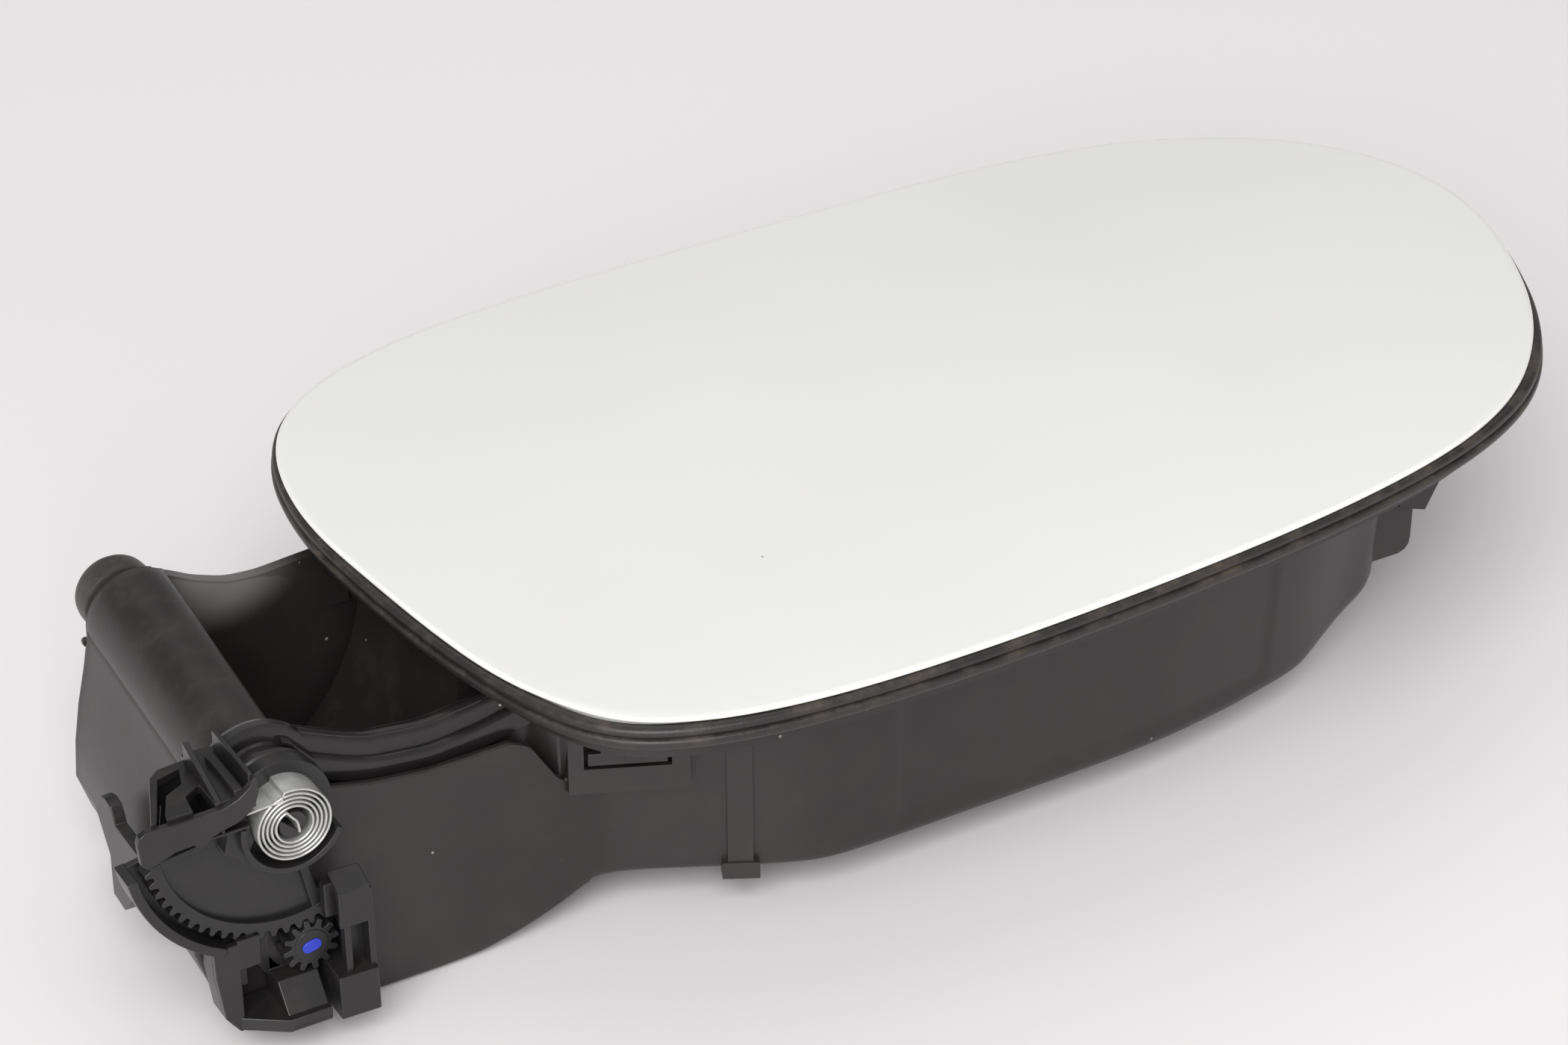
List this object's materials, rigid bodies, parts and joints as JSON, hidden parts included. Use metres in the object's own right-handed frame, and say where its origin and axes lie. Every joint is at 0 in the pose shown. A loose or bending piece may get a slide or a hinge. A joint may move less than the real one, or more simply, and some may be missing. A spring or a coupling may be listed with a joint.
{
  "type": "fuel filler flap assembly",
  "caption": "White oval fuel filler flap on a black moulded housing, hinged by a gooseneck arm with a spiral spring, a toothed sector and a rotary damper.",
  "frame": {"origin": "middle of the base of the bounding box, with the flap closed", "axes": "+X runs along the flap from the hinge to the free end, +Y across the flap away from the spring and damper side, +Z out through the flap"},
  "size_m": [0.2992, 0.149, 0.059],
  "materials": {
    "white_paint": "gloss white paint over a moulded flap",
    "black_plastic": "black moulded plastic, satin",
    "dark_plastic": "charcoal moulded plastic, satin",
    "holder_plastic": "black moulded plastic, matt",
    "gear_plastic": "charcoal gear plastic, satin",
    "seal_rubber": "black rubber with a light bloom",
    "spring_steel": "bright spring steel strip",
    "steel_screws": "zinc plated steel",
    "blue_plastic": "blue moulded plastic"
  },
  "bodies": {
    "frame": {"housing": "black_plastic", "rim_seal": "seal_rubber", "pocket_lip": "seal_rubber", "near_bush": "dark_plastic", "far_bearing_cap": "dark_plastic", "spiral_spring": "spring_steel", "spring_bracket": "black_plastic", "damper_holder": "holder_plastic", "damper_body": "dark_plastic", "neck_boot": "seal_rubber", "bump_stops": "seal_rubber", "lock_actuator": "dark_plastic", "actuator_screws": "steel_screws"},
    "flap": {"flap_skin": "white_paint", "flap_carrier": "dark_plastic", "hinge_arm": "black_plastic", "arm_screws": "steel_screws", "hinge_shaft": "dark_plastic", "gear_sector": "gear_plastic", "striker": "black_plastic"},
    "pinion": {"damper_pinion": "gear_plastic", "damper_rotor": "blue_plastic"},
    "pin": {"lock_pin": "steel_screws"}
  },
  "joints": [
    {"name": "flap_hinge", "type": "hinge", "parent": "frame", "child": "flap", "pos_m": [-0.12366, 0.00001, 0.0449], "axis": [0, -1, 0], "range_deg": [0, 85], "deforming": ["spiral_spring"]},
    {"name": "damper_spin", "type": "hinge", "parent": "frame", "child": "pinion", "pos_m": [-0.12057, 0.00001, 0.01777], "axis": [0, -1, 0], "range_deg": [-467.5, 0]},
    {"name": "pin_slide", "type": "slide", "parent": "frame", "child": "pin", "axis": [1, 0, 0], "range_m": [0, 0.006]}
  ],
  "couplings": [
    {"joint": "damper_spin", "follows": "flap_hinge", "ratio": -5.5}
  ]
}
